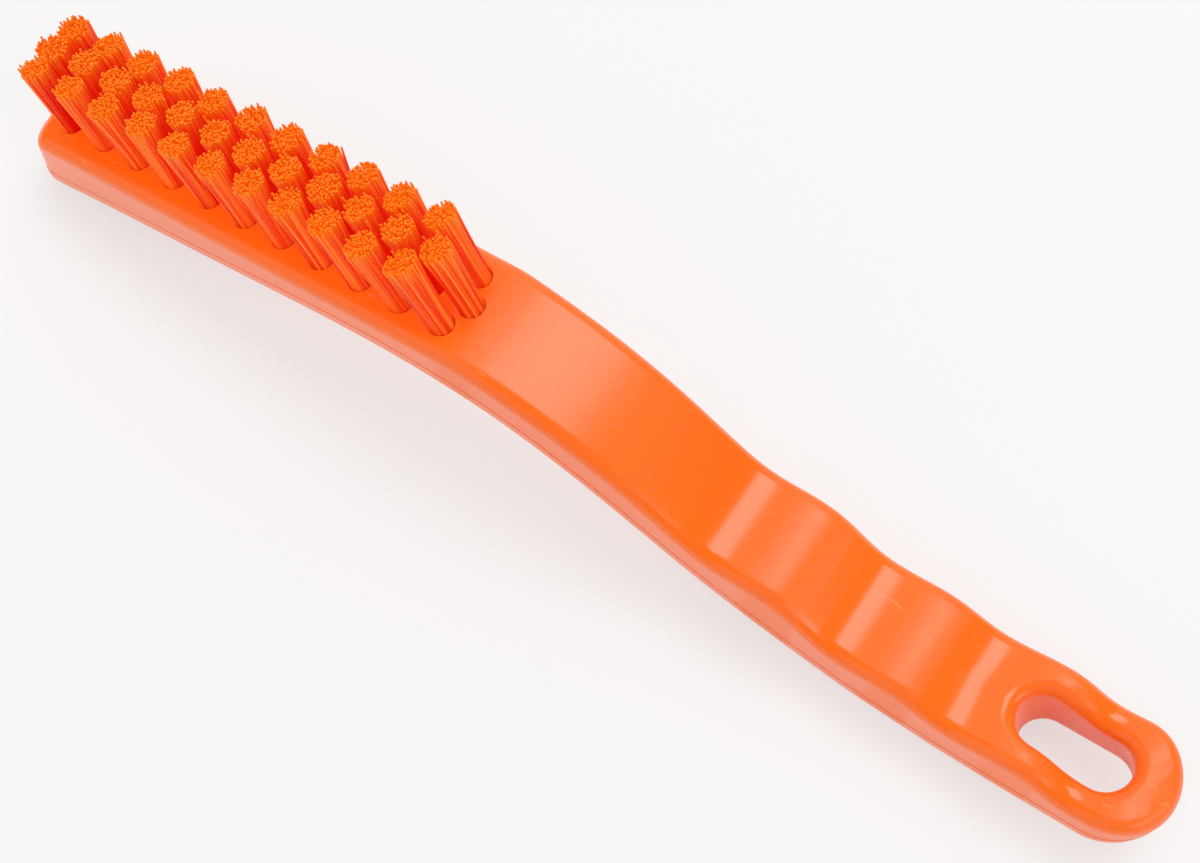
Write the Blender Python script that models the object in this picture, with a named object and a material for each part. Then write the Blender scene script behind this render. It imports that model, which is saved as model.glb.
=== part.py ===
"""Detailing brush: one moulded handle with a hang slot, and three rows of tufts in blind holes.

The brush lies on its back with the bristles up. Before it is centred, x runs from the tip of the
head (0) to the tail, y across it, and z up from the surface that it lies on. Units are metres.
"""

import math
import random

import bmesh
import bpy
import numpy as np
from mathutils import Matrix, Vector

MM = 0.001

# Rows of tufts, measured along the face of the head
SIDE_TUFTS = 11
MIDDLE_TUFTS = 12
SIDE_PITCH = 9.0 * MM
MIDDLE_PITCH = 8.61 * MM
ROW_SPACING = 5.37 * MM
TIP_TO_SIDE_TUFT = 8.7 * MM
MIDDLE_LEAD = 2.2 * MM  # the middle row starts this much nearer the tip
LAST_TUFT_TO_NECK = 1.4 * MM  # the flat face ends this far past the last tuft's centre
# How far off upright the holes run, towards the tip: a row's first, its middle and its last one
SIDE_LEANS = (math.radians(14.0), math.radians(15.5), math.radians(26.5))
MIDDLE_LEANS = (math.radians(7.5), math.radians(15.0), math.radians(22.0))

# One tuft and its hole
TUFT_RADIUS = 2.0 * MM
HOLE_CLEARANCE = 0.3 * MM
HOLE_DEPTH = 6.0 * MM
ROOT_HEIGHT = 2.4 * MM
TRIM_HEIGHT = 16.4 * MM
TRIM_SPREAD = 0.7 * MM  # how unevenly the ends are trimmed
STRAND_WALL = 0.13 * MM  # inset of each strand from its share of the root
FLARE = 0.5  # share by which the strands move apart towards their ends

# Head
HEAD_WIDTH = 24.7 * MM
HEAD_TILT = math.radians(11.6)
TIP_HEIGHT = 15.95 * MM  # face of the head above the surface, at the tip
TIP_ROUNDING = 4.5 * MM
TIP_SQUARENESS = 2.5  # 2 is an ellipse seen from above, and more is squarer
TIP_LEAN = math.radians(-10.0)  # the tip's end wall slopes, reaching further out at the back
TIP_REST = 5.0 * MM  # the back of the tip lies flat up to here
HEAD_THICKNESS = 13.4 * MM  # half way along the tufted face
NECK_THICKNESS = 13.1 * MM  # where the head meets the neck
BACK_RISE = 0.33  # slope of the back just behind the tip

# Neck and grip
LENGTH = 239.3 * MM
GRIP_WIDTH = 21.2 * MM
TAPER_LENGTH = 140.0 * MM  # the width narrows from the tip to here
EDGE_RADIUS = 2.6 * MM
RIM_SHARE = 0.48  # most of a wall that the rounding of one of its rims may take
GRIP_LENGTH = 85.9 * MM
# Valleys and crests of the grip in turn, as shares of GRIP_LENGTH from the tail and of TAIL_HEIGHT
GROOVES = (
    (1.0, 1.284),
    (0.822, 1.264),
    (0.722, 0.961),
    (0.5485, 1.005),
    (0.4367, 0.872),
    (0.2597, 1.046),
    (0.19, 0.918),
    (0.0778, 1.063),
)
# Neck seen from the side, as shares of its run and of its drop
NECK_TOP = ((0.10, 1.01), (0.23, 0.965), (0.37, 0.885), (0.545, 0.715), (0.72, 0.46), (0.87, 0.18))
NECK_BACK = ((0.13, 0.97), (0.37, 0.70), (0.61, 0.32), (0.79, 0.14))
REST_START = 54.0 * MM  # the grip's flat resting face, as distances from the tail
REST_END = 38.0 * MM
TAIL_LIFT = 5.6 * MM  # the back of the tail above the surface
TAIL_HEIGHT = 15.9 * MM  # the bristle side of the tail above the surface
TAIL_RISE = 0.12  # slopes of the back and of the bristle side at the very end
TAIL_FALL = -0.25

# Hang slot
SLOT_LENGTH = 20.5 * MM
SLOT_WIDTH = 9.4 * MM
TAIL_WALL = 7.25 * MM  # plastic between the slot and the end of the tail
SLOT_LEAN = math.radians(16.0)  # the slot runs this far off upright

# Fineness of the model
STATION_STEP = 4.0 * MM
STATION_GAP = 0.4 * MM
HEAD_STATIONS = 6
ARC_STEPS = 8
EDGE_STEPS = 3
HOLE_SIDES = 12
SEED = 11

ORANGE = (1.0, 0.135, 0.013, 1.0)
TUFT_ORANGE = (1.0, 0.21, 0.004, 1.0)

HOLE_RADIUS = TUFT_RADIUS + HOLE_CLEARANCE
LAST_TUFT = math.cos(HEAD_TILT) * max(
    TIP_TO_SIDE_TUFT + (SIDE_TUFTS - 1) * SIDE_PITCH,
    TIP_TO_SIDE_TUFT - MIDDLE_LEAD + (MIDDLE_TUFTS - 1) * MIDDLE_PITCH,
)
NECK_START = LAST_TUFT + LAST_TUFT_TO_NECK
SLOT_CENTRE = LENGTH - TAIL_WALL - SLOT_LENGTH / 2


def clear_scene():
    for obj in list(bpy.data.objects):
        bpy.data.objects.remove(obj, do_unlink=True)


def plastic(name, colour, roughness):
    """A plain moulded plastic."""
    material = bpy.data.materials.new(name)
    material.use_nodes = True
    shader = material.node_tree.nodes["Principled BSDF"]
    shader.inputs["Base Color"].default_value = colour
    shader.inputs["Roughness"].default_value = roughness
    shader.inputs["Metallic"].default_value = 0.0
    return material


def smooth_curve(points, start_slope, end_slope):
    """A function for the smooth curve through (x, z) points, straight past both of its ends."""
    xs = np.array([point[0] for point in points])
    zs = np.array([point[1] for point in points])
    run = np.diff(xs)
    rise = np.diff(zs) / run
    system = np.eye(len(xs))
    known = np.zeros(len(xs))
    known[0] = start_slope
    known[-1] = end_slope
    for i in range(1, len(xs) - 1):
        system[i, i - 1 : i + 2] = run[i], 2 * (run[i - 1] + run[i]), run[i - 1]
        known[i] = 3 * (run[i] * rise[i - 1] + run[i - 1] * rise[i])
    slope = np.linalg.solve(system, known)

    def height(x):
        if x <= xs[0]:
            return float(zs[0] + start_slope * (x - xs[0]))
        if x >= xs[-1]:
            return float(zs[-1] + end_slope * (x - xs[-1]))
        i = int(np.searchsorted(xs, x)) - 1
        t = (x - xs[i]) / run[i]
        ends = zs[i] * (1 + 2 * t) * (1 - t) ** 2 + zs[i + 1] * t * t * (3 - 2 * t)
        return float(ends + run[i] * t * (1 - t) * (slope[i] * (1 - t) - slope[i + 1] * t))

    return height


def face_height(x):
    """Height of the flat tufted face at x."""
    return TIP_HEIGHT + math.tan(HEAD_TILT) * x


def between(start, end, shares):
    """Points at shares of the way along and of the drop from start to end."""
    run = end[0] - start[0]
    drop = start[1] - end[1]
    return [(start[0] + along * run, end[1] + left * drop) for along, left in shares]


def make_top_curve():
    """The bristle side of the neck and grip; the head before it is flat."""
    neck = (NECK_START, face_height(NECK_START))
    grip = [(LENGTH - from_tail * GRIP_LENGTH, height * TAIL_HEIGHT) for from_tail, height in GROOVES]
    tail = (LENGTH, TAIL_HEIGHT)
    points = [neck, *between(neck, grip[0], NECK_TOP), *grip, tail]
    return smooth_curve(points, math.tan(HEAD_TILT), TAIL_FALL)


def make_back_curve():
    """The back, from the tip to the tail, before it is cut flat where it rests."""
    tip = (TIP_REST, 0.0)
    middle = (NECK_START / 2, face_height(NECK_START / 2) - HEAD_THICKNESS)
    neck = (NECK_START, face_height(NECK_START) - NECK_THICKNESS)
    rest = (LENGTH - REST_START, 0.0)
    rest_end = (LENGTH - REST_END, 0.0)
    tail = (LENGTH, TAIL_LIFT)
    points = [tip, middle, neck, *between(neck, rest, NECK_BACK), rest, rest_end, tail]
    return smooth_curve(points, BACK_RISE, TAIL_RISE)


top_curve = make_top_curve()
back_curve = make_back_curve()


def top(x):
    return top_curve(x)


def back(x):
    return max(0.0, back_curve(x))


def half_width(x):
    narrowed = min(max(x / TAPER_LENGTH, 0.0), 1.0)
    return (HEAD_WIDTH + (GRIP_WIDTH - HEAD_WIDTH) * narrowed) / 2


def quarter_turns(steps):
    return [math.pi / 2 * i / steps for i in range(steps + 1)]


def half_outline():
    """One side of the plan outline, from the tip to the tail."""
    squareness = 2 / TIP_SQUARENESS
    corner = half_width(TIP_ROUNDING)
    tip = [
        (TIP_ROUNDING * (1 - math.cos(a) ** squareness), corner * math.sin(a) ** squareness)
        for a in quarter_turns(ARC_STEPS)
    ]
    radius = GRIP_WIDTH / 2
    tail = [
        (LENGTH - radius + radius * math.sin(a), radius * math.cos(a))
        for a in quarter_turns(ARC_STEPS)
    ]
    return [*tip[:-1], (TIP_ROUNDING, corner), (TAPER_LENGTH, radius), *tail]


def half_slot():
    """One side of the hang slot, from its tail end to its head end."""
    radius = SLOT_WIDTH / 2
    straight = (SLOT_LENGTH - SLOT_WIDTH) / 2
    turns = quarter_turns(ARC_STEPS)
    tail_end = [(SLOT_CENTRE + straight + radius * math.cos(a), radius * math.sin(a)) for a in turns]
    head_end = [(SLOT_CENTRE - straight - radius * math.sin(a), radius * math.cos(a)) for a in turns]
    return tail_end + head_end


def slot_shift():
    """How far each rim of the slot moves along the handle when the slot leans."""
    return (top(SLOT_CENTRE) - back(SLOT_CENTRE)) / 2 * math.tan(SLOT_LEAN)


def rim_radius():
    """The rounding of every rim, no larger than the walls around the slot can carry."""
    side_wall = (GRIP_WIDTH - SLOT_WIDTH) / 2
    thinnest = min(side_wall, TAIL_WALL - slot_shift())
    return min(EDGE_RADIUS, RIM_SHARE * thinnest)


def round_rims(bm, radius):
    """Rounds every edge between an upright wall and a level face."""
    bm.normal_update()
    rims = [
        edge
        for edge in bm.edges
        if abs(edge.link_faces[0].normal.z) + abs(edge.link_faces[1].normal.z) > 0.5
        and abs(edge.link_faces[0].normal.z * edge.link_faces[1].normal.z) < 0.5
    ]
    bmesh.ops.bevel(
        bm, geom=rims, offset=radius, offset_type="OFFSET", segments=EDGE_STEPS, profile=0.5, affect="EDGES"
    )


def stations():
    """Places along the handle where its mesh has a row of points, clear of the slot's leaning ends."""
    head = [NECK_START * (i + 0.5) / HEAD_STATIONS for i in range(HEAD_STATIONS)]
    count = round((LENGTH - NECK_START) / STATION_STEP)
    bends = [NECK_START + (LENGTH - NECK_START) * i / count for i in range(count)]
    slot_end = SLOT_LENGTH / 2 + rim_radius()
    clear = slot_shift() + STATION_GAP
    return head + [x for x in bends if abs(abs(x - SLOT_CENTRE) - slot_end) > clear]


def beside_slot(point):
    """Whether a point belongs to the slot's wall or to its rounded rims."""
    straight = (SLOT_LENGTH - SLOT_WIDTH) / 2
    along = max(abs(point.x - SLOT_CENTRE) - straight, 0.0)
    return math.hypot(along, point.y) < SLOT_WIDTH / 2 + 1.02 * rim_radius()


def seen_from_the_side(point, slab):
    """Moves a point of the flat slab to its place under the top curve or over the back curve."""
    upper = point.z > slab / 2
    depth = slab - point.z if upper else point.z
    x = point.x
    lean = SLOT_LEAN if beside_slot(point) else TIP_LEAN * max(0.0, 1 - x / NECK_START)
    shift = ((top(x) - back(x)) / 2 - depth) * math.tan(lean)
    x += -shift if upper else shift
    return Vector((x, point.y, top(x) - depth if upper else back(x) + depth))


def make_handle():
    """A slab of the plan outline with its rims rounded, cut into stations and then bent."""
    bm = bmesh.new()
    radius = rim_radius()
    slab = 4 * radius
    side = half_outline() + half_slot()
    bm.faces.new([bm.verts.new((x, y, 0.0)) for x, y in side])
    bmesh.ops.mirror(bm, geom=bm.verts[:] + bm.edges[:] + bm.faces[:], axis="Y", merge_dist=1e-6)
    grown = bmesh.ops.extrude_face_region(bm, geom=bm.faces[:])
    raised = [item for item in grown["geom"] if isinstance(item, bmesh.types.BMVert)]
    bmesh.ops.translate(bm, verts=raised, vec=(0.0, 0.0, slab))
    bmesh.ops.recalc_face_normals(bm, faces=bm.faces[:])
    round_rims(bm, radius)
    for x in stations():
        everything = bm.verts[:] + bm.edges[:] + bm.faces[:]
        bmesh.ops.bisect_plane(bm, geom=everything, dist=1e-6, plane_co=(x, 0, 0), plane_no=(1, 0, 0))
    for vert in bm.verts:
        vert.co = seen_from_the_side(vert.co, slab)
    bmesh.ops.triangulate(bm, faces=[face for face in bm.faces if len(face.verts) > 4])
    return mesh_object(bm, "handle_body")


def mesh_object(bm, name):
    mesh = bpy.data.meshes.new(name)
    bm.to_mesh(mesh)
    bm.free()
    mesh.shade_smooth()
    mesh.set_sharp_from_angle(angle=math.radians(35))
    obj = bpy.data.objects.new(name, mesh)
    bpy.context.collection.objects.link(obj)
    return obj


def lean_along(leans, share):
    """The lean at a share of the way along a row, on the smooth curve through its three leans."""
    first, middle, last = leans
    return first + share * (4 * middle - 3 * first - last) + share**2 * 2 * (first - 2 * middle + last)


def tuft_places():
    """(row name, number in the row, matrix) of each tuft: its origin on the face, z up its hole."""
    rows = (
        ("left", -ROW_SPACING, SIDE_TUFTS, TIP_TO_SIDE_TUFT, SIDE_PITCH, SIDE_LEANS),
        ("middle", 0.0, MIDDLE_TUFTS, TIP_TO_SIDE_TUFT - MIDDLE_LEAD, MIDDLE_PITCH, MIDDLE_LEANS),
        ("right", ROW_SPACING, SIDE_TUFTS, TIP_TO_SIDE_TUFT, SIDE_PITCH, SIDE_LEANS),
    )
    for row, y, count, first, pitch, leans in rows:
        for i in range(count):
            x = (first + i * pitch) * math.cos(HEAD_TILT)
            lean = lean_along(leans, i / max(count - 1, 1))
            yield row, i + 1, Matrix.Translation((x, y, face_height(x))) @ Matrix.Rotation(-lean, 4, "Y")


def make_hole_cutter():
    bm = bmesh.new()
    above = HOLE_DEPTH / 2
    for _, _, place in tuft_places():
        bmesh.ops.create_cone(
            bm,
            cap_ends=True,
            segments=HOLE_SIDES,
            radius1=HOLE_RADIUS,
            radius2=HOLE_RADIUS,
            depth=HOLE_DEPTH + above,
            matrix=place @ Matrix.Translation((0.0, 0.0, (above - HOLE_DEPTH) / 2)),
        )
    cutter = mesh_object(bm, "hole_cutter")
    cutter.hide_render = True
    cutter.display_type = "WIRE"
    return cutter


def drill(body, cutter):
    cut = body.modifiers.new("tuft holes", "BOOLEAN")
    cut.operation = "DIFFERENCE"
    cut.solver = "EXACT"
    cut.object = cutter


def points_forward(face):
    middle = face.calc_center_median().x
    xs = [vert.co.x for vert in face.verts]
    return max(xs) - middle > middle - min(xs)


def make_tuft(name, place, dice):
    """The folded root with its anchor, and the strands that rise from its upper face."""
    bm = bmesh.new()
    bmesh.ops.create_circle(bm, cap_ends=True, cap_tris=True, segments=6, radius=TUFT_RADIUS)
    bmesh.ops.subdivide_edges(bm, edges=bm.edges[:], cuts=1, use_grid_fill=True)
    grown = bmesh.ops.extrude_face_region(bm, geom=bm.faces[:])
    raised = [item for item in grown["geom"] if isinstance(item, bmesh.types.BMVert)]
    bottom = HOLE_CLEARANCE - HOLE_DEPTH
    bmesh.ops.translate(bm, verts=bm.verts[:], vec=(0.0, 0.0, bottom))
    bmesh.ops.translate(bm, verts=raised, vec=(0.0, 0.0, ROOT_HEIGHT))
    bmesh.ops.recalc_face_normals(bm, faces=bm.faces[:])
    roots = [face for face in bm.faces if face.normal.z > 0.5 and points_forward(face)]
    bmesh.ops.inset_individual(bm, faces=roots, thickness=STRAND_WALL, use_even_offset=True)
    strands = bmesh.ops.extrude_discrete_faces(bm, faces=roots)["faces"]
    for end in strands:
        centre = end.calc_center_median()
        rise = TRIM_HEIGHT - centre.z - dice.uniform(0.0, TRIM_SPREAD)
        spread = Vector((centre.x, centre.y, 0.0)) * (FLARE + dice.uniform(-0.04, 0.04))
        for vert in end.verts:
            vert.co += spread + Vector((0.0, 0.0, rise))
    tuft = mesh_object(bm, name)
    tuft.matrix_world = place
    return tuft


def centre_on_the_surface(parts):
    """Hangs every part on one empty, placed so that the brush is centred and stands at z = 0."""
    bpy.context.view_layer.update()
    graph = bpy.context.evaluated_depsgraph_get()
    corners = []
    for part in parts:
        shape = part.evaluated_get(graph)
        corners += [shape.matrix_world @ vert.co for vert in shape.data.vertices]
    corners = np.array(corners)
    low = corners.min(axis=0)
    high = corners.max(axis=0)
    middle = (low + high) / 2
    base = bpy.data.objects.new("brush", None)
    bpy.context.collection.objects.link(base)
    for obj in bpy.context.scene.objects:
        if obj is not base:
            obj.parent = base
    base.location = (-middle[0], -middle[1], -low[2])


def main():
    clear_scene()
    dice = random.Random(SEED)
    handle = make_handle()
    handle.data.materials.append(plastic("orange handle plastic", ORANGE, 0.28))
    drill(handle, make_hole_cutter())
    parts = [handle]
    for row, number, place in tuft_places():
        name = f"tuft_{row}_{number:02d}"
        tuft = make_tuft(name, place, dice)
        tuft.data.materials.append(plastic(f"{name} filament", TUFT_ORANGE, 0.4))
        parts.append(tuft)
    centre_on_the_surface(parts)


main()
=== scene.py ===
"""Detailing brush, dressed: the moulded, drilled handle and its tufts strand by strand.

The brush lies on its back with the bristles up. The handle is drawn in its own length, with x from
the tip of the head (0) to the tail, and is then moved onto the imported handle. Units are metres.
"""

import math

import bmesh
import bpy
import numpy as np
from mathutils import Matrix, Vector


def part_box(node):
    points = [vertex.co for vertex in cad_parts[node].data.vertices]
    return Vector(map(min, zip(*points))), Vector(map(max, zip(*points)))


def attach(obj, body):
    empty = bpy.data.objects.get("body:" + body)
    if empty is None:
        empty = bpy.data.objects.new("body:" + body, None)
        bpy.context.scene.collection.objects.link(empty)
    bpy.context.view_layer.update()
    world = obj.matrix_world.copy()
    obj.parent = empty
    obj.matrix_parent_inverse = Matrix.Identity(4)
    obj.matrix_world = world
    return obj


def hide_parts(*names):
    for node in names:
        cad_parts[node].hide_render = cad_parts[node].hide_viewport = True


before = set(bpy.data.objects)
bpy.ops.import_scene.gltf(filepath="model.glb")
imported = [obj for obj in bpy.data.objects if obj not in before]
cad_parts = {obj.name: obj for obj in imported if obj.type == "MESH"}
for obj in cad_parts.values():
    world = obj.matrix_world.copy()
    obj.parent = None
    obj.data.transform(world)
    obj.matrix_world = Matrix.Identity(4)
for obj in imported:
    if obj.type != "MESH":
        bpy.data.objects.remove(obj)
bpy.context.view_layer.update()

MM = 0.001

# Rows of tufts, measured along the face of the head
SIDE_TUFTS = 11
MIDDLE_TUFTS = 12
SIDE_PITCH = 9.0 * MM
MIDDLE_PITCH = 8.61 * MM
ROW_SPACING = 5.37 * MM
TIP_TO_SIDE_TUFT = 8.7 * MM
MIDDLE_LEAD = 2.2 * MM
LAST_TUFT_TO_NECK = 1.4 * MM
# How far off upright the holes run, towards the tip: a row's first, its middle and its last one
SIDE_LEANS = (math.radians(14.0), math.radians(15.5), math.radians(26.5))
MIDDLE_LEANS = (math.radians(7.5), math.radians(15.0), math.radians(22.0))

# One tuft and its hole
HOLE_RADIUS = 2.3 * MM
HOLE_DEPTH = 6.0 * MM
MOUTH_ROUNDING = 0.22 * MM
MOUTH_CLEARANCE = 0.01 * MM  # how far above the face the rounding of the mouth ends
STRANDS = 138
STRAND_DIAMETER = 0.42 * MM
ROOTS_RADIUS = 2.07 * MM
STRAND_HEIGHT = 16.05 * MM
STRAND_DEPTH = 4.5 * MM
STRAND_FLARE = 0.40
FULLNESS = (0.8, 1.15)  # the least and the most of that flare that a tuft has
BEND_POWER = 1.5  # how late up its height a strand bends out
TRIM_SPREAD = 0.85 * MM
DISORDER = 0.25 * MM  # how far the end of a strand wanders
SWAY = 0.3 * MM  # how far a whole tuft leans over
STRAY_SHARE = 0.022  # of the strands, that wander further and stand out longer
STRAY_WANDER = 4.0
STRAY_LENGTHS = (0.2 * MM, 1.0 * MM)

# How open to the light a strand is, which sets its painted shade: by its side of the tuft, and by
# its tuft's place in the rows
OPEN_SIDE_SHARE = 0.9
OPEN_PLACE_SHARE = 0.45
ROW_END_WEIGHT = 2.0  # how much more open a row's end is than its side

# Head
HEAD_WIDTH = 24.7 * MM
HEAD_TILT = math.radians(11.6)
TIP_HEIGHT = 15.95 * MM
TIP_ROUNDING = 4.5 * MM
TIP_SQUARENESS = 2.1  # of the curve where the tip's rounding meets its level faces
TIP_LEAN = math.radians(-10.0)
TIP_REST = 5.0 * MM
HEAD_THICKNESS = 13.4 * MM
NECK_THICKNESS = 13.1 * MM
BACK_RISE = 0.33

# Neck and grip; the curves' points are shares of the way along and of the height
LENGTH = 239.3 * MM
GRIP_WIDTH = 21.2 * MM
TAPER_LENGTH = 140.0 * MM
EDGE_RADIUS = 2.6 * MM
GRIP_LENGTH = 85.9 * MM
GROOVES = (
    (1.0, 1.284),
    (0.822, 1.264),
    (0.722, 0.961),
    (0.5485, 1.005),
    (0.4367, 0.872),
    (0.2597, 1.046),
    (0.19, 0.918),
    (0.0778, 1.063),
)
NECK_TOP = ((0.10, 1.01), (0.23, 0.965), (0.37, 0.885), (0.545, 0.715), (0.72, 0.46), (0.87, 0.18))
NECK_BACK = ((0.13, 0.97), (0.37, 0.70), (0.61, 0.32), (0.79, 0.14))
REST_START = 54.0 * MM
REST_END = 38.0 * MM
TAIL_LIFT = 5.6 * MM
TAIL_HEIGHT = 15.9 * MM
TAIL_RISE = 0.12
TAIL_FALL = -0.25

# Hang slot
SLOT_LENGTH = 20.5 * MM
SLOT_WIDTH = 9.4 * MM
TAIL_WALL = 7.25 * MM
SLOT_LEAN = math.radians(16.0)
LEAN_FADE = 14.0 * MM

# Parting line of the mould, a fine ridge round the outer wall
RIDGE_HEIGHT = 4.8 * MM
RIDGE_STAND = 0.10 * MM
RIDGE_HALF_WIDTH = 0.16 * MM
DRAWN_IN = 0.102 * MM  # the wall behind the ridge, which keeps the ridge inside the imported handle

# Wear on the bristle side
FULLY_RUBBED_BULGE = 32.0  # curvature, per metre, past which a crest is dull all over
BULGE_REACH = 5.0 * MM  # how far either side the curvature is measured

# Fineness of the model
STATION_STEP = 1.3 * MM
ARC_STEPS = 26
EDGE_STEPS = 10
HOLE_SIDES = 36
MOUTH_STEPS = 3
STRAND_SIDES = 6
STRAND_POINTS = 6
WELD = 0.003 * MM
SAME_PLACE = 1e-6
ON_THE_CUT = 1e-7
SHARP_ANGLE = math.radians(40.0)

# Colours of the handle, and how strongly each is laid on
PLASTIC = ((1.0, 0.138, 0.004, 1.0), (1.0, 0.162, 0.006, 1.0))
GRIME, GRIME_SHARE = (0.72, 0.075, 0.004, 1.0), 0.55
SCUFF, SCUFF_SHARE = (1.0, 0.33, 0.10, 1.0), 0.4
# Upright walls: a paler colour by how upright the surface is, a painted reflection of the floor
WALL_PAINTED_REFLECTION, PAINTED_REFLECTION_SHARE = (1.0, 0.25, 0.09, 1.0), 0.35
# Painted shade along the parting ridge: a darker red line on the wall
PARTING_PAINTED_SHADE, PARTING_SHADE_SHARE = (0.6, 0.03, 0.0, 1.0), 0.5
PLASTIC_IOR = 1.49
# Spots per metre of the noises that the handle's colour, wear and waves come from
FLOW_SPOTS = 35.0
GRIME_SPOTS, GRIME_RANGE = 150.0, (0.6, 0.8)
GRAIN_SPOTS = 260.0
WAVE_SPOTS = 60.0
PATCH_SPOTS, PATCH_RANGE = 55.0, (0.5, 0.62)
STROKE_SPOTS, STROKE_RANGE = (260.0, 900.0, 900.0), (0.66, 0.72)
STROKE_SLANT = math.radians(35.0)
FRESH_GLOSS = (0.15, 0.21)  # roughness where nothing has rubbed
RUBBED_DULLNESS = 0.17
SCUFF_DULLNESS = 0.2
WAVE_STRENGTH = 0.08
WAVE_HEIGHT = 0.6 * MM

# Colours of the filament
STRAND_DARK = (0.88, 0.022, 0.0, 1.0)
STRAND_LIGHT = (1.0, 0.42, 0.05, 1.0)
# Yellower colour at the trimmed ends: painted light glowing through the filament's ends
TRIMMED_END_PAINTED_LIGHT = (1.0, 0.25, 0.001, 1.0)
# Deep red where other tufts shut a strand in: painted shade, red with the light that filters through
# the filaments
SHUT_IN_PAINTED_SHADE, SHUT_IN_SHADE_SHARE = (0.85, 0.004, 0.0, 1.0), 0.95
STRAND_ROUGHNESS = 0.36
LIGHT_THROUGH = 0.5  # how much light a strand lets through
LESS_AT_END = 0.4  # and how much less at its trimmed end
END_POWER = 6.0  # how near the trimmed end its painted light starts, and its lesser translucency
OPEN_TOP_POWER = 4.0  # how near the trimmed end the painted shade between the tufts stops

# Studio; angles are round from the right-hand side of the view
VIEW_TURN = math.radians(34.65)
LIT_POINT = Vector((0.02, 0.0, 0.02))
DARK_ROOM = 0.08  # what the gloss mirrors between the lights
FILL = 0.58  # light from all round on matt surfaces
FLOOR = (0.9, 0.9, 0.895, 1.0)
FLOOR_WHITE = 0.91  # the floor as it is seen, before the lamps' own share
FLOOR_GLOW = 0.66  # how much of the seen floor is plain white, which keeps its shadows light
FLOOR_HALF_SIZE = 40.0
FLOOR_DROP = 0.05 * MM
# Name, degrees round, degrees up, distance, size and brightness
SOFTBOXES = (
    ("overhead softbox", 40, 68, 1.3, (0.62, 0.62), 3.7),
    ("overhead glow", 80, 66, 1.4, (1.5, 1.4), 0.6),
    ("right softbox", -40, 28, 1.3, (0.9, 0.45), 2.4),
    ("left wall", 200, 25, 1.5, (2.0, 1.2), 0.6),
    ("back wall", 80, 20, 1.6, (2.4, 1.1), 0.6),
)
LENS = 50.0
SENSOR_WIDTH = 36.0
NEAREST_SEEN = 0.01
CAMERA_PLACE = (0.06684, -0.08848, 0.28841)
CAMERA_RIGHT = (0.8226, 0.5686, 0.0014)
CAMERA_FORWARD = (-0.2079, 0.3031, -0.9300)

# A strand tree's inputs
STRAND_INPUTS = (
    ("Geometry", "NodeSocketGeometry"),
    ("Strands", "NodeSocketInt"),
    ("Root radius", "NodeSocketFloat"),
    ("Strand diameter", "NodeSocketFloat"),
    ("Depth", "NodeSocketFloat"),
    ("Height", "NodeSocketFloat"),
    ("Flare", "NodeSocketFloat"),
    ("Disorder", "NodeSocketFloat"),
    ("Sway", "NodeSocketFloat"),
    ("Trim spread", "NodeSocketFloat"),
    ("Stray share", "NodeSocketFloat"),
    ("Seed", "NodeSocketInt"),
    ("Material", "NodeSocketMaterial"),
)
# What is drawn by lot, each counted on from the row's seed
TURN, STRAY, WANDER, EXTRA_LENGTH, TRIM, TINT, FULLER, SWAYED = range(1, 9)
SEED_STEP = 20
GOLDEN_ANGLE = math.pi * (3 - math.sqrt(5))

LAST_TUFT = math.cos(HEAD_TILT) * max(
    TIP_TO_SIDE_TUFT + (SIDE_TUFTS - 1) * SIDE_PITCH,
    TIP_TO_SIDE_TUFT - MIDDLE_LEAD + (MIDDLE_TUFTS - 1) * MIDDLE_PITCH,
)
NECK_START = LAST_TUFT + LAST_TUFT_TO_NECK
SLOT_CENTRE = LENGTH - TAIL_WALL - SLOT_LENGTH / 2
SLAB = 4 * EDGE_RADIUS

_, handle_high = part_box("handle_body")
TO_FRAME = Matrix.Translation((handle_high.x - LENGTH, 0.0, 0.0))


def smooth_curve(points, start_slope, end_slope):
    """A function for the smooth curve through (x, z) points, straight past both of its ends."""
    xs = np.array([point[0] for point in points])
    zs = np.array([point[1] for point in points])
    run = np.diff(xs)
    rise = np.diff(zs) / run
    system = np.eye(len(xs))
    known = np.zeros(len(xs))
    known[0] = start_slope
    known[-1] = end_slope
    for i in range(1, len(xs) - 1):
        system[i, i - 1 : i + 2] = run[i], 2 * (run[i - 1] + run[i]), run[i - 1]
        known[i] = 3 * (run[i] * rise[i - 1] + run[i - 1] * rise[i])
    slope = np.linalg.solve(system, known)

    def height(x):
        if x <= xs[0]:
            return float(zs[0] + start_slope * (x - xs[0]))
        if x >= xs[-1]:
            return float(zs[-1] + end_slope * (x - xs[-1]))
        i = int(np.searchsorted(xs, x)) - 1
        t = (x - xs[i]) / run[i]
        ends = zs[i] * (1 + 2 * t) * (1 - t) ** 2 + zs[i + 1] * t * t * (3 - 2 * t)
        return float(ends + run[i] * t * (1 - t) * (slope[i] * (1 - t) - slope[i + 1] * t))

    return height


def face_height(x):
    """Height of the flat tufted face at x."""
    return TIP_HEIGHT + math.tan(HEAD_TILT) * x


def between(start, end, shares):
    """Points at shares of the way along and of the drop from start to end."""
    run = end[0] - start[0]
    drop = start[1] - end[1]
    return [(start[0] + along * run, end[1] + left * drop) for along, left in shares]


def make_top_curve():
    """The bristle side of the neck and grip; the head before it is flat."""
    neck = (NECK_START, face_height(NECK_START))
    grip = [(LENGTH - back_from * GRIP_LENGTH, up * TAIL_HEIGHT) for back_from, up in GROOVES]
    tail = (LENGTH, TAIL_HEIGHT)
    points = [neck, *between(neck, grip[0], NECK_TOP), *grip, tail]
    return smooth_curve(points, math.tan(HEAD_TILT), TAIL_FALL)


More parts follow.
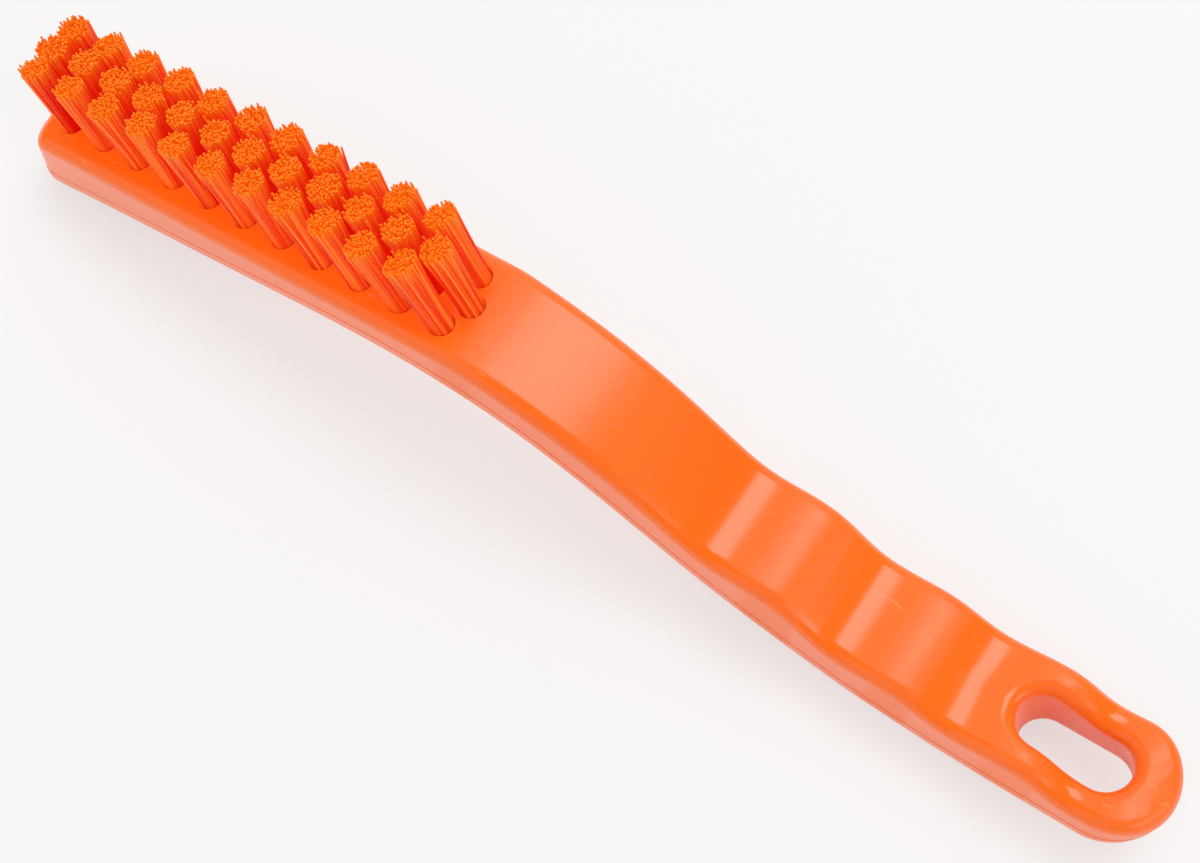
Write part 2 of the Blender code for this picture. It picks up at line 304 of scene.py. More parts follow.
def make_back_curve():
    """The back, from the tip to the tail, before it is cut flat where it rests."""
    tip = (TIP_REST, 0.0)
    middle = (NECK_START / 2, face_height(NECK_START / 2) - HEAD_THICKNESS)
    neck = (NECK_START, face_height(NECK_START) - NECK_THICKNESS)
    rest = (LENGTH - REST_START, 0.0)
    rest_end = (LENGTH - REST_END, 0.0)
    tail = (LENGTH, TAIL_LIFT)
    points = [tip, middle, neck, *between(neck, rest, NECK_BACK), rest, rest_end, tail]
    return smooth_curve(points, BACK_RISE, TAIL_RISE)


top = make_top_curve()
back_curve = make_back_curve()


def back(x):
    """Height of the back at x, flat where the brush rests."""
    return max(0.0, back_curve(x))


def half_width(x):
    """Half the width of the straight-sided stretch at x."""
    narrowed = min(max(x / TAPER_LENGTH, 0.0), 1.0)
    return (HEAD_WIDTH + (GRIP_WIDTH - HEAD_WIDTH) * narrowed) / 2


def quarter_turns(steps):
    return [math.pi / 2 * (i / steps) for i in range(steps + 1)]


def half_outline():
    """One side of the plan outline, from the tip to the tail."""
    corner = half_width(TIP_ROUNDING)
    deep = TIP_ROUNDING - EDGE_RADIUS
    wide = corner - EDGE_RADIUS
    tip = []
    for a in quarter_turns(ARC_STEPS):
        x = deep * math.cos(a) ** (2 / TIP_SQUARENESS)
        y = wide * math.sin(a) ** (2 / TIP_SQUARENESS)
        outward = Vector((
            math.cos(a) ** (2 - 2 / TIP_SQUARENESS) / deep,
            math.sin(a) ** (2 - 2 / TIP_SQUARENESS) / wide,
        )).normalized() * EDGE_RADIUS
        tip.append((TIP_ROUNDING - x - outward.x, y + outward.y))
    radius = GRIP_WIDTH / 2
    tail = [
        (LENGTH - radius + radius * math.sin(a), radius * math.cos(a))
        for a in quarter_turns(ARC_STEPS)
    ]
    return [*tip[:-1], (TIP_ROUNDING, corner), (TAPER_LENGTH, radius), *tail]


def half_slot():
    """One side of the hang slot, from its tail end to its head end."""
    radius = SLOT_WIDTH / 2
    straight = (SLOT_LENGTH - SLOT_WIDTH) / 2
    turns = quarter_turns(ARC_STEPS)
    tail_end = [
        (SLOT_CENTRE + straight + radius * math.cos(a), radius * math.sin(a)) for a in turns
    ]
    head_end = [
        (SLOT_CENTRE - straight - radius * math.sin(a), radius * math.cos(a)) for a in turns
    ]
    return tail_end + head_end


def is_rim(edge):
    """Whether an edge runs between an upright wall and a level face."""
    first, second = (abs(face.normal.z) for face in edge.link_faces)
    return first + second > 0.5 and first * second < 0.5


def round_rims(bm):
    """Rounds every edge between an upright wall and a level face."""
    bm.normal_update()
    bmesh.ops.bevel(
        bm,
        geom=[edge for edge in bm.edges if is_rim(edge)],
        offset=EDGE_RADIUS,
        offset_type="OFFSET",
        segments=EDGE_STEPS,
        profile=0.5,
        affect="EDGES",
    )


def everything(bm):
    return bm.verts[:] + bm.edges[:] + bm.faces[:]


def cut_at(bm, point, normal):
    """Cuts every face along a plane."""
    bmesh.ops.bisect_plane(
        bm, geom=everything(bm), dist=ON_THE_CUT, plane_co=point, plane_no=normal
    )


def past_the_slot(x, y):
    """Distance outside the slot's rounded rim, seen from above; less than 0 within it."""
    straight = (SLOT_LENGTH - SLOT_WIDTH) / 2
    along = max(abs(x - SLOT_CENTRE) - straight, 0.0)
    return math.hypot(along, y) - SLOT_WIDTH / 2 - EDGE_RADIUS


def inside_the_edge(x, y):
    """Distance inside the rounded edge of the grip, seen from above."""
    past_straight = max(x - (LENGTH - GRIP_WIDTH / 2), 0.0)
    return half_width(x) - EDGE_RADIUS - math.hypot(past_straight, y)


def lean_at(x, y):
    """Slope of the walls: out at the back at the tip's end, and along the handle in the slot."""
    tip = math.tan(TIP_LEAN) * max(0.0, 1 - x / NECK_START)
    outside = max(past_the_slot(x, y), 0.0)
    inside = max(inside_the_edge(x, y), 0.0)
    if outside == 0.0:
        return math.tan(SLOT_LEAN)
    share = inside / (inside + outside) * max(0.0, 1 - outside / LEAN_FADE)
    return tip + share * math.tan(SLOT_LEAN)


def seen_from_the_side(point):
    """Moves a point of the flat slab to its place under the top curve or over the back curve."""
    upper = point.z > SLAB / 2
    depth = SLAB - point.z if upper else point.z
    x = point.x
    shift = ((top(x) - back(x)) / 2 - depth) * lean_at(x, point.y)
    x += -shift if upper else shift
    return Vector((x, point.y, top(x) - depth if upper else back(x) + depth))


def is_on_ridge(vert):
    level = abs(vert.co.z - RIDGE_HEIGHT) < SAME_PLACE
    return level and past_the_slot(vert.co.x, vert.co.y) > 0.0


def raise_parting_line(bm):
    """Draws the outer wall in, stands the ridge out from it and marks where it runs."""
    parting = bm.verts.layers.float.new("parting")
    bm.normal_update()
    outward = {
        vert: Vector((vert.normal.x, vert.normal.y, 0.0)).normalized()
        for vert in bm.verts
        if is_on_ridge(vert)
    }
    for vert in bm.verts:
        vert.co.x += DRAWN_IN * (1 - 2 * vert.co.x / LENGTH)
        vert.co.y *= 1 - 2 * DRAWN_IN / HEAD_WIDTH
    for vert, direction in outward.items():
        vert.co += direction * RIDGE_STAND
        vert[parting] = 1.0


def make_handle_blank():
    """A slab of the plan outline with its rims rounded, cut into stations and then bent."""
    bm = bmesh.new()
    bm.faces.new([bm.verts.new((x, y, 0.0)) for x, y in half_outline() + half_slot()])
    bmesh.ops.mirror(bm, geom=everything(bm), axis="Y", merge_dist=SAME_PLACE)
    grown = bmesh.ops.extrude_face_region(bm, geom=bm.faces[:])
    raised = [item for item in grown["geom"] if isinstance(item, bmesh.types.BMVert)]
    bmesh.ops.translate(bm, verts=raised, vec=(0.0, 0.0, SLAB))
    bmesh.ops.recalc_face_normals(bm, faces=bm.faces[:])
    round_rims(bm)
    count = round(LENGTH / STATION_STEP)
    for i in range(1, count):
        cut_at(bm, (LENGTH * i / count, 0.0, 0.0), (1.0, 0.0, 0.0))
    for side in (-1, 0, 1):
        cut_at(bm, (0.0, 0.0, RIDGE_HEIGHT + side * RIDGE_HALF_WIDTH), (0.0, 0.0, 1.0))
    bmesh.ops.remove_doubles(bm, verts=bm.verts[:], dist=WELD)
    raise_parting_line(bm)
    for vert in bm.verts:
        vert.co = seen_from_the_side(vert.co)
    bmesh.ops.triangulate(bm, faces=[face for face in bm.faces if len(face.verts) > 4])
    return mesh_object(bm, "handle")


def mesh_object(bm, name):
    """A new object of the drawn mesh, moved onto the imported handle."""
    mesh = bpy.data.meshes.new(name)
    bm.to_mesh(mesh)
    bm.free()
    mesh.transform(TO_FRAME)
    obj = bpy.data.objects.new(name, mesh)
    bpy.context.collection.objects.link(obj)
    return obj


def lean_along(leans, share):
    """The lean at a share of the way along a row, on the curve through its three leans."""
    first, middle, last = leans
    steady = share * (4 * middle - 3 * first - last)
    return first + steady + share**2 * 2 * (first - 2 * middle + last)


def tuft_places(row):
    """(origin on the face, lean, open side seen from above) of each tuft in a row."""
    y, count, first, pitch, leans = {
        "left": (-ROW_SPACING, SIDE_TUFTS, TIP_TO_SIDE_TUFT, SIDE_PITCH, SIDE_LEANS),
        "middle": (0.0, MIDDLE_TUFTS, TIP_TO_SIDE_TUFT - MIDDLE_LEAD, MIDDLE_PITCH, MIDDLE_LEANS),
        "right": (ROW_SPACING, SIDE_TUFTS, TIP_TO_SIDE_TUFT, SIDE_PITCH, SIDE_LEANS),
    }[row]
    for i in range(count):
        x = (first + i * pitch) * math.cos(HEAD_TILT)
        end = (i == count - 1) - (i == 0)
        open_side = Vector((ROW_END_WEIGHT * end, y / ROW_SPACING, 0.0)).normalized()
        yield Vector((x, y, face_height(x))), lean_along(leans, i / (count - 1)), open_side


def hole_profile():
    """(radius, height) down one side of a hole and round its mouth."""
    profile = [(HOLE_RADIUS, -HOLE_DEPTH)]
    for a in quarter_turns(MOUTH_STEPS):
        outward = MOUTH_ROUNDING * (1 - math.cos(a))
        up = MOUTH_ROUNDING * (math.sin(a) - 1) + MOUTH_CLEARANCE
        profile.append((HOLE_RADIUS + outward, up))
    profile.append((HOLE_RADIUS + 2 * MOUTH_ROUNDING, HOLE_DEPTH / 2))
    return profile


def add_plug(bm, mouth, lean):
    """Adds one hole's plug, whose rings lie level with the face however far it leans."""
    place = Matrix.Translation(mouth) @ Matrix.Rotation(-lean, 4, "Y")
    slope = math.tan(HEAD_TILT - lean)
    turn = 2 * math.pi / HOLE_SIDES
    rings = []
    for radius, z in hole_profile():
        ring = []
        for i in range(HOLE_SIDES):
            x, y = radius * math.cos(turn * i), radius * math.sin(turn * i)
            ring.append(bm.verts.new(place @ Vector((x, y, z + slope * x))))
        rings.append(ring)
    for lower, upper in zip(rings, rings[1:]):
        for i in range(HOLE_SIDES):
            j = (i + 1) % HOLE_SIDES
            bm.faces.new((lower[i], lower[j], upper[j], upper[i]))
    bm.faces.new(rings[0][::-1])
    bm.faces.new(rings[-1])


def make_hole_cutter():
    """Every hole with a softly rounded mouth, as one mesh of turned plugs."""
    bm = bmesh.new()
    for row in ("left", "middle", "right"):
        for mouth, lean, _ in tuft_places(row):
            add_plug(bm, mouth, lean)
    bmesh.ops.recalc_face_normals(bm, faces=bm.faces[:])
    return mesh_object(bm, "hole_cutter")


def make_handle(material):
    """Drills the blank and keeps the result as a plain mesh with even shading."""
    blank = make_handle_blank()
    cutter = make_hole_cutter()
    cut = blank.modifiers.new("tuft holes", "BOOLEAN")
    cut.operation = "DIFFERENCE"
    cut.solver = "EXACT"
    cut.object = cutter
    mesh = plain_mesh(blank, "handle")
    bpy.data.objects.remove(cutter)
    blank.modifiers.clear()
    blank.data = mesh
    mesh.shade_smooth()
    mesh.set_sharp_from_angle(angle=SHARP_ANGLE)
    even = blank.modifiers.new("even shading", "WEIGHTED_NORMAL")
    even.keep_sharp = True
    even.weight = 100
    mesh.materials.clear()
    mesh.materials.append(material)
    mark_surface(mesh)
    return blank


def mark_surface(mesh):
    """Stores how far handling has dulled the bristle side's bulges, and how upright a wall is."""
    rubbed = mesh.attributes.new("rubbed", "FLOAT", "POINT")
    upright = mesh.attributes.new("upright", "FLOAT", "POINT")
    for vert, wear, wall in zip(mesh.vertices, rubbed.data, upright.data):
        x = vert.co.x - TO_FRAME.translation.x
        bulge = (2 * top(x) - top(x - BULGE_REACH) - top(x + BULGE_REACH)) / BULGE_REACH**2
        share = min(max(bulge / FULLY_RUBBED_BULGE, 0.0), 1.0)
        wear.value = share * share * (3 - 2 * share)
        wall.value = (1 - abs(vert.normal.z)) ** 2


def plain_mesh(obj, name):
    """The object's evaluated mesh on its own."""
    bpy.context.view_layer.update()
    graph = bpy.context.evaluated_depsgraph_get()
    mesh = bpy.data.meshes.new_from_object(obj.evaluated_get(graph))
    mesh.name = name
    return mesh


def add_node(tree, kind, inputs=(), **settings):
    """Adds a node with its settings; each input is given a value or a socket to follow."""
    node = tree.nodes.new(kind)
    for name, value in settings.items():
        setattr(node, name, value)
    for key, value in dict(inputs).items():
        if isinstance(value, bpy.types.NodeSocket):
            tree.links.new(value, node.inputs[key])
        else:
            node.inputs[key].default_value = value
    return node


def enabled(sockets, *names):
    """The sockets that a node's settings leave in use, of these names or of any."""
    return [s for s in sockets if s.enabled and (not names or s.name in names)]


def maths(tree, operation, first, second=0.0):
    kind = "ShaderNodeMath"
    return add_node(tree, kind, {0: first, 1: second}, operation=operation).outputs[0]


def vector_maths(tree, operation, first, second=(0.0, 0.0, 0.0)):
    key = "Scale" if operation == "SCALE" else 1
    inputs = {0: first, key: second}
    node = add_node(tree, "ShaderNodeVectorMath", inputs, operation=operation)
    return enabled(node.outputs)[0]


def combine(tree, x=0.0, y=0.0, z=0.0):
    return add_node(tree, "ShaderNodeCombineXYZ", {0: x, 1: y, 2: z}).outputs[0]


def keep(tree, geometry, name, kind, value):
    """Stores a value on the points, to be read again later."""
    inputs = {"Geometry": geometry, "Name": name}
    settings = {"data_type": kind, "domain": "POINT"}
    node = add_node(tree, "GeometryNodeStoreNamedAttribute", inputs, **settings)
    tree.links.new(value, enabled(node.inputs, "Value")[0])
    return node.outputs["Geometry"]


def kept(tree, name, kind):
    """Reads a stored value."""
    node = add_node(tree, "GeometryNodeInputNamedAttribute", {"Name": name}, data_type=kind)
    return enabled(node.outputs, "Attribute")[0]


def by_lot(tree, given, what, low, high, kind="FLOAT", mark=None):
    """A random value, one for each strand, or for each tuft where the tuft is the mark."""
    seed = maths(tree, "ADD", given["Seed"], float(what))
    node = add_node(tree, "FunctionNodeRandomValue", {"Seed": seed}, data_type=kind)
    least, most = enabled(node.inputs, "Min", "Max")
    least.default_value = low
    most.default_value = high
    if mark is not None:
        tree.links.new(mark, node.inputs["ID"])
    return enabled(node.outputs)[0]


def leaning(tree, vector, lean):
    """Turns a vector with its tuft's lean."""
    inputs = {"Vector": vector, "Rotation": lean}
    node = add_node(tree, "ShaderNodeVectorRotate", inputs, rotation_type="EULER_XYZ")
    return node.outputs[0]


def moved(tree, geometry, offset):
    inputs = {"Geometry": geometry, "Offset": offset}
    return add_node(tree, "GeometryNodeSetPosition", inputs).outputs[0]


def place_across(tree, given, number, tuft):
    """A strand's place in its tuft's root, filled evenly from the middle out in a spiral."""
    turn = by_lot(tree, given, TURN, 0.0, 2 * math.pi, mark=tuft)
    angle = maths(tree, "ADD", maths(tree, "MULTIPLY", number, GOLDEN_ANGLE), turn)
    share = maths(tree, "DIVIDE", maths(tree, "ADD", number, 0.5), given["Strands"])
    radius = maths(tree, "MULTIPLY", maths(tree, "SQRT", share), given["Root radius"])
    x = maths(tree, "MULTIPLY", radius, maths(tree, "COSINE", angle))
    y = maths(tree, "MULTIPLY", radius, maths(tree, "SINE", angle))
    return combine(tree, x, y)


def how_open(tree, given, across):
    """How open to the light a strand is, by its place in the tuft and by the tuft's place."""
    open_side = kept(tree, "open side", "FLOAT_VECTOR")
    facing = vector_maths(tree, "DOT_PRODUCT", across, open_side)
    facing = maths(tree, "DIVIDE", facing, given["Root radius"])
    facing = maths(tree, "MULTIPLY", facing, OPEN_SIDE_SHARE)
    placed = maths(tree, "MULTIPLY", vector_maths(tree, "LENGTH", open_side), OPEN_PLACE_SHARE)
    return maths(tree, "ADD", facing, placed)


def bend_of(tree, given, across, stray, tuft):
    """How far a strand's end leaves its line: by the flare, its own wander and the tuft's sway."""
    flare = by_lot(tree, given, FULLER, *FULLNESS, mark=tuft)
    flare = vector_maths(tree, "SCALE", across, maths(tree, "MULTIPLY", given["Flare"], flare))
    wander = by_lot(tree, given, WANDER, (-1.0, -1.0, 0.0), (1.0, 1.0, 0.0), "FLOAT_VECTOR")
    wander = vector_maths(tree, "SCALE", wander, given["Disorder"])
    further = maths(tree, "ADD", maths(tree, "MULTIPLY", stray, STRAY_WANDER), 1.0)
    wander = vector_maths(tree, "SCALE", wander, further)
    sway = by_lot(tree, given, SWAYED, (0.0, -1.0, 0.0), (1.0, 1.0, 0.0), "FLOAT_VECTOR", tuft)
    sway = vector_maths(tree, "SCALE", sway, given["Sway"])
    return vector_maths(tree, "ADD", vector_maths(tree, "ADD", flare, wander), sway)


def strand_points(tree, given, lean):
    """A point for every strand's root, with all that is settled for that strand."""
    index = tree.nodes.new("GeometryNodeInputIndex").outputs[0]
    mouths = add_node(tree, "GeometryNodeMeshToPoints", {"Mesh": given["Geometry"]}).outputs[0]
    inputs = {"Geometry": keep(tree, mouths, "tuft", "INT", index), "Amount": given["Strands"]}
    many = add_node(tree, "GeometryNodeDuplicateElements", inputs, domain="POINT")
    tuft = kept(tree, "tuft", "INT")
    across = place_across(tree, given, many.outputs["Duplicate Index"], tuft)
    stray = by_lot(tree, given, STRAY, 0.0, 1.0)
    stray = maths(tree, "LESS_THAN", stray, given["Stray share"])
    bend = leaning(tree, bend_of(tree, given, across, stray, tuft), lean)
    longer = maths(tree, "MULTIPLY", stray, by_lot(tree, given, EXTRA_LENGTH, *STRAY_LENGTHS))
    trimmed = maths(tree, "MULTIPLY", by_lot(tree, given, TRIM, 0.0, 1.0), given["Trim spread"])
    trimmed = maths(tree, "SUBTRACT", trimmed, longer)
    points = keep(tree, many.outputs["Geometry"], "bend", "FLOAT_VECTOR", bend)
    points = keep(tree, points, "trimmed", "FLOAT", trimmed)
    points = keep(tree, points, "tint", "FLOAT", by_lot(tree, given, TINT, 0.0, 1.0))
    points = keep(tree, points, "open", "FLOAT", how_open(tree, given, across))
    return moved(tree, points, leaning(tree, across, lean))


def strand_lines(tree, given, points, lean):
    """A bent and trimmed line on every point, which knows how far up it is."""
    low = combine(tree, z=maths(tree, "MULTIPLY", given["Depth"], -1.0))
    high = combine(tree, z=given["Height"])
    inputs = {"Start": low, "End": high}
    line = add_node(tree, "GeometryNodeCurvePrimitiveLine", inputs).outputs[0]
    inputs = {"Curve": line, "Count": STRAND_POINTS}
    line = add_node(tree, "GeometryNodeResampleCurve", inputs).outputs[0]
    inputs = {"Points": points, "Instance": line, "Rotation": lean}
    lines = add_node(tree, "GeometryNodeInstanceOnPoints", inputs).outputs[0]
    lines = add_node(tree, "GeometryNodeRealizeInstances", {"Geometry": lines}).outputs[0]
    along = tree.nodes.new("GeometryNodeSplineParameter").outputs["Factor"]
    length = maths(tree, "ADD", given["Depth"], given["Height"])
    above = maths(tree, "SUBTRACT", maths(tree, "MULTIPLY", along, length), given["Depth"])
    above = maths(tree, "MAXIMUM", maths(tree, "DIVIDE", above, given["Height"]), 0.0)
    late = maths(tree, "POWER", above, BEND_POWER)
    bend = vector_maths(tree, "SCALE", kept(tree, "bend", "FLOAT_VECTOR"), late)
    down = maths(tree, "MULTIPLY", above, -1.0)
    drop = maths(tree, "MULTIPLY", kept(tree, "trimmed", "FLOAT"), down)
    drop = leaning(tree, combine(tree, z=drop), lean)
    lines = keep(tree, lines, "above", "FLOAT", above)
    return moved(tree, lines, vector_maths(tree, "ADD", bend, drop))


def strand_solids(tree, given, lines):
    """Round strands along the lines, smooth along their sides and flat at their ends."""
    inputs = {
        "Resolution": STRAND_SIDES,
        "Radius": maths(tree, "MULTIPLY", given["Strand diameter"], 0.5),
    }
    section = add_node(tree, "GeometryNodeCurvePrimitiveCircle", inputs).outputs[0]
    inputs = {"Curve": lines, "Profile Curve": section, "Fill Caps": True}
    solid = add_node(tree, "GeometryNodeCurveToMesh", inputs).outputs[0]
    corners = tree.nodes.new("GeometryNodeCornersOfFace").outputs["Total"]
    fewer = {"data_type": "INT", "operation": "LESS_THAN"}
    side = add_node(tree, "FunctionNodeCompare", {2: corners, 3: 5}, **fewer).outputs[0]
    inputs = {"Geometry": solid, "Shade Smooth": side}
    solid = add_node(tree, "GeometryNodeSetShadeSmooth", inputs, domain="FACE").outputs[0]
    solid = add_node(tree, "GeometryNodeRealizeInstances", {"Geometry": solid}).outputs[0]
    inputs = {"Geometry": solid, "Material": given["Material"]}
    return add_node(tree, "GeometryNodeSetMaterial", inputs).outputs[0]


def strand_tree():
    """Geometry nodes that grow a tuft of trimmed strands from each point of a row."""
    tree = bpy.data.node_groups.new("tuft strands", "GeometryNodeTree")
    for name, kind in STRAND_INPUTS:
        tree.interface.new_socket(name, in_out="INPUT", socket_type=kind)
    tree.interface.new_socket("Geometry", in_out="OUTPUT", socket_type="NodeSocketGeometry")
    given = tree.nodes.new("NodeGroupInput").outputs
    lean = combine(tree, y=maths(tree, "MULTIPLY", kept(tree, "lean", "FLOAT"), -1.0))
    lines = strand_lines(tree, given, strand_points(tree, given, lean), lean)
    add_node(tree, "NodeGroupOutput", {0: strand_solids(tree, given, lines)})
    return tree


def set_inputs(modifier, tree, values):
    """Sets a modifier's inputs by the identifiers of the tree's named sockets."""
    for item in tree.interface.items_tree:
        if item.in_out == "INPUT" and item.name in values:
            modifier[item.identifier] = values[item.name]


def make_strands(row, tree, material, seed):
    """All the strands of one row of tufts."""
    bm = bmesh.new()
    lean_layer = bm.verts.layers.float.new("lean")
    open_layer = bm.verts.layers.float_vector.new("open side")
    for mouth, lean, open_side in tuft_places(row):
        vert = bm.verts.new(mouth)
        vert[lean_layer] = lean
        vert[open_layer] = open_side
    obj = mesh_object(bm, f"strands_{row}")
    grow = obj.modifiers.new("strands", "NODES")
    grow.node_group = tree
    values = {
        "Strands": STRANDS,
        "Root radius": ROOTS_RADIUS,
        "Strand diameter": STRAND_DIAMETER,
        "Depth": STRAND_DEPTH,
        "Height": STRAND_HEIGHT,
        "Flare": STRAND_FLARE,
        "Disorder": DISORDER,
        "Sway": SWAY,
        "Trim spread": TRIM_SPREAD,
        "Stray share": STRAY_SHARE,
        "Seed": seed,
        "Material": material,
    }
    set_inputs(grow, tree, values)
    mesh = plain_mesh(obj, f"strands_{row}")
    obj.modifiers.clear()
    obj.data = mesh
    # The strands cast no lamp shadow; the painted shade on the filament stands in for it
    obj.visible_shadow = False
    return obj


def new_material(name):
    material = bpy.data.materials.new(name)
    material.use_nodes = True
    return material, material.node_tree, material.node_tree.nodes["Principled BSDF"]


def marked(tree, name):
    """A value that the mesh carries."""
    return add_node(tree, "ShaderNodeAttribute", attribute_name=name).outputs["Fac"]


def noise(tree, place, scale, detail, distortion=0.0):
    """Noise with its scale in spots per unit of the place."""
    inputs = {"Vector": place, "Scale": scale, "Detail": detail, "Distortion": distortion}
    return add_node(tree, "ShaderNodeTexNoise", inputs).outputs[0]


def ramp(tree, value, low, high, start=0.0, end=1.0):
    """Runs from start to end while the value goes from low to high."""
    inputs = {0: value, 1: low, 2: high, 3: start, 4: end}
    return add_node(tree, "ShaderNodeMapRange", inputs).outputs[0]


def blend(tree, share, colour, other):
    """The colour with a share of the other laid over it."""
    inputs = {0: share, 6: colour, 7: other}
    return add_node(tree, "ShaderNodeMix", inputs, data_type="RGBA").outputs[2]


def show_mix(tree, share, first, second):
    """Shows the surface as the first shader with a share of the second."""
    inputs = {0: share, 1: first.outputs[0], 2: second.outputs[0]}
    mixed = add_node(tree, "ShaderNodeMixShader", inputs)
    tree.links.new(mixed.outputs[0], tree.nodes["Material Output"].inputs["Surface"])


def scuffs(tree, place):
    """Short slanting strokes, in patches."""
    inputs = {"Vector": place, "Rotation": (0.0, 0.0, STROKE_SLANT), "Scale": STROKE_SPOTS}
    drawn_out = add_node(tree, "ShaderNodeMapping", inputs).outputs[0]
    stroke = ramp(tree, noise(tree, drawn_out, 1.0, 2.0, 0.8), *STROKE_RANGE)
    patch = ramp(tree, noise(tree, place, PATCH_SPOTS, 1.0), *PATCH_RANGE)
    return maths(tree, "MULTIPLY", stroke, patch)


def handle_plastic():
    """Glossy orange moulded plastic, faintly uneven, rubbed and grimy on its crests, with scuffs, a
    painted pale reflection on its upright walls and painted shade along the parting ridge.
    """
    material, tree, shader = new_material("orange moulded plastic")
    place = tree.nodes.new("ShaderNodeTexCoord").outputs["Object"]
    rubbed = marked(tree, "rubbed")
    scuff = scuffs(tree, place)
    grime = ramp(tree, noise(tree, place, GRIME_SPOTS, 4.0, 1.2), *GRIME_RANGE)
    grime = maths(tree, "MULTIPLY", grime, maths(tree, "MULTIPLY", rubbed, GRIME_SHARE))
    colour = blend(tree, noise(tree, place, FLOW_SPOTS, 3.0), *PLASTIC)
    colour = blend(tree, grime, colour, GRIME)
    for share, most, other in (
        (scuff, SCUFF_SHARE, SCUFF),
        # painted pale reflection on the upright walls
        (marked(tree, "upright"), PAINTED_REFLECTION_SHARE, WALL_PAINTED_REFLECTION),
        # painted shade along the parting ridge
        (marked(tree, "parting"), PARTING_SHADE_SHARE, PARTING_PAINTED_SHADE),
    ):
        colour = blend(tree, maths(tree, "MULTIPLY", share, most), colour, other)
    tree.links.new(colour, shader.inputs["Base Color"])
    rough = ramp(tree, noise(tree, place, GRAIN_SPOTS, 5.0), 0.0, 1.0, *FRESH_GLOSS)
    rough = maths(tree, "ADD", rough, maths(tree, "MULTIPLY", rubbed, RUBBED_DULLNESS))
    rough = maths(tree, "ADD", rough, maths(tree, "MULTIPLY", scuff, SCUFF_DULLNESS))
    tree.links.new(rough, shader.inputs["Roughness"])
    inputs = {
        "Strength": WAVE_STRENGTH,
        "Distance": WAVE_HEIGHT,
        "Height": noise(tree, place, WAVE_SPOTS, 1.0),
    }
    tree.links.new(add_node(tree, "ShaderNodeBump", inputs).outputs[0], shader.inputs["Normal"])
    shader.inputs["IOR"].default_value = PLASTIC_IOR
    return material


def strand_plastic():
    """Drawn orange filament, with painted light that makes the trimmed ends yellower and painted red
    shade where the tufts shut it in.
    """
    material, tree, shader = new_material("orange filament")
    above = marked(tree, "above")
    end = maths(tree, "POWER", above, END_POWER)
    colour = blend(tree, marked(tree, "tint"), STRAND_DARK, STRAND_LIGHT)
    # the yellower ends are painted light
    colour = blend(tree, end, colour, TRIMMED_END_PAINTED_LIGHT)
    # Painted red shade where the tufts shut a strand in, fading out near the trimmed end
    painted_shade = maths(tree, "SUBTRACT", 1.0, marked(tree, "open"))
    painted_shade = maths(tree, "MULTIPLY", painted_shade, SHUT_IN_SHADE_SHARE)
    painted_shade.node.use_clamp = True
    open_top = maths(tree, "POWER", above, OPEN_TOP_POWER)
    painted_shade = maths(tree, "MULTIPLY", painted_shade, maths(tree, "SUBTRACT", 1.0, open_top))
    colour = blend(tree, painted_shade, colour, SHUT_IN_PAINTED_SHADE)
    tree.links.new(colour, shader.inputs["Base Color"])
    shader.inputs["Roughness"].default_value = STRAND_ROUGHNESS
    shader.inputs["IOR"].default_value = PLASTIC_IOR
    through = add_node(tree, "ShaderNodeBsdfTranslucent", {"Color": colour})
    clear = maths(tree, "SUBTRACT", LIGHT_THROUGH, maths(tree, "MULTIPLY", end, LESS_AT_END))
    show_mix(tree, clear, shader, through)
    return material


def floor_paint():
    """Plain pale floor, whose shadows are seen lighter than they fall."""
    material, tree, shader = new_material("pale floor")
    shader.inputs["Base Color"].default_value = FLOOR
    shader.inputs["Roughness"].default_value = 1.0
    shader.inputs["Specular IOR Level"].default_value = 0.0
    path = tree.nodes.new("ShaderNodeLightPath").outputs
    mirrored = maths(tree, "MAXIMUM", path["Is Glossy Ray"], path["Is Transmission Ray"])
    seen = maths(tree, "MAXIMUM", path["Is Camera Ray"], mirrored)
    white = add_node(tree, "ShaderNodeEmission", {"Strength": FLOOR_WHITE})
    show_mix(tree, maths(tree, "MULTIPLY", seen, FLOOR_GLOW), shader, white)
    return material


def make_floor():
    bm = bmesh.new()
    bmesh.ops.create_grid(bm, x_segments=2, y_segments=2, size=FLOOR_HALF_SIZE)
    mesh = bpy.data.meshes.new("floor")
    bm.to_mesh(mesh)
    bm.free()
    floor = bpy.data.objects.new("floor", mesh)
    bpy.context.collection.objects.link(floor)
    mesh.transform(Matrix.Translation((0.0, 0.0, -FLOOR_DROP)))
    mesh.materials.append(floor_paint())


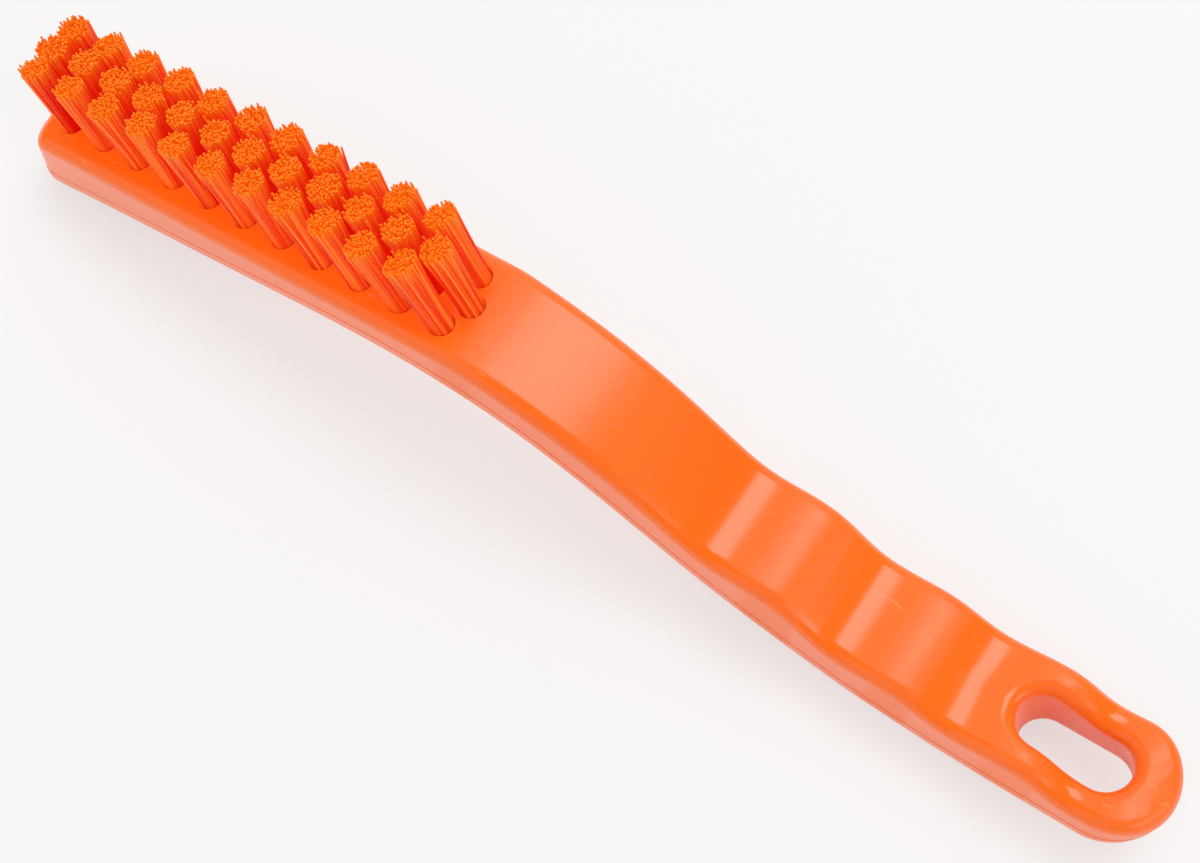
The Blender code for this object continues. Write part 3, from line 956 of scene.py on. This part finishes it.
def add_softbox(name, around, height, distance, size, brightness):
    """A rectangular light that faces the brush, with its place given round and up from it."""
    light = bpy.data.lights.new(name, "AREA")
    light.shape = "RECTANGLE"
    light.size, light.size_y = size
    light.energy = brightness * size[0] * size[1] * math.pi
    lamp = bpy.data.objects.new(name, light)
    bpy.context.collection.objects.link(lamp)
    around = math.radians(around) + VIEW_TURN
    height = math.radians(height)
    away = Vector((
        math.cos(height) * math.cos(around),
        math.cos(height) * math.sin(around),
        math.sin(height),
    ))
    lamp.location = LIT_POINT + away * distance
    lamp.rotation_mode = "QUATERNION"
    lamp.rotation_quaternion = (-away).to_track_quat("-Z", "Y")


def make_world():
    """White light from all round, of which the gloss mirrors much less."""
    world = bpy.data.worlds.new("studio")
    world.use_nodes = True
    tree = world.node_tree
    path = tree.nodes.new("ShaderNodeLightPath").outputs
    less = maths(tree, "MULTIPLY", path["Is Glossy Ray"], FILL - DARK_ROOM)
    room = tree.nodes["Background"]
    room.inputs["Color"].default_value = (1.0, 1.0, 1.0, 1.0)
    tree.links.new(maths(tree, "SUBTRACT", FILL, less), room.inputs["Strength"])
    bpy.context.scene.world = world


def make_camera():
    """A 50 mm lens at the photograph's place, about 29 cm above the floor."""
    data = bpy.data.cameras.new("camera")
    data.lens = LENS
    data.sensor_width = SENSOR_WIDTH
    data.clip_start = NEAREST_SEEN
    camera = bpy.data.objects.new("camera", data)
    bpy.context.collection.objects.link(camera)
    right = Vector(CAMERA_RIGHT).normalized()
    forward = Vector(CAMERA_FORWARD).normalized()
    turned = Matrix((right, right.cross(forward), -forward)).transposed().to_4x4()
    camera.matrix_world = Matrix.Translation(CAMERA_PLACE) @ turned
    bpy.context.scene.camera = camera


def main():
    make_camera()
    make_floor()
    make_world()
    for softbox in SOFTBOXES:
        add_softbox(*softbox)
    handle = make_handle(handle_plastic())
    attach(handle, "root")
    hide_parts("handle_body")
    tree = strand_tree()
    filament = strand_plastic()
    for seed, row in enumerate(("left", "middle", "right"), start=1):
        strands = make_strands(row, tree, filament, SEED_STEP * seed)
        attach(strands, "root")
        count = MIDDLE_TUFTS if row == "middle" else SIDE_TUFTS
        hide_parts(*[f"tuft_{row}_{i + 1:02d}" for i in range(count)])
    bpy.context.scene.view_settings.view_transform = "Standard"


main()
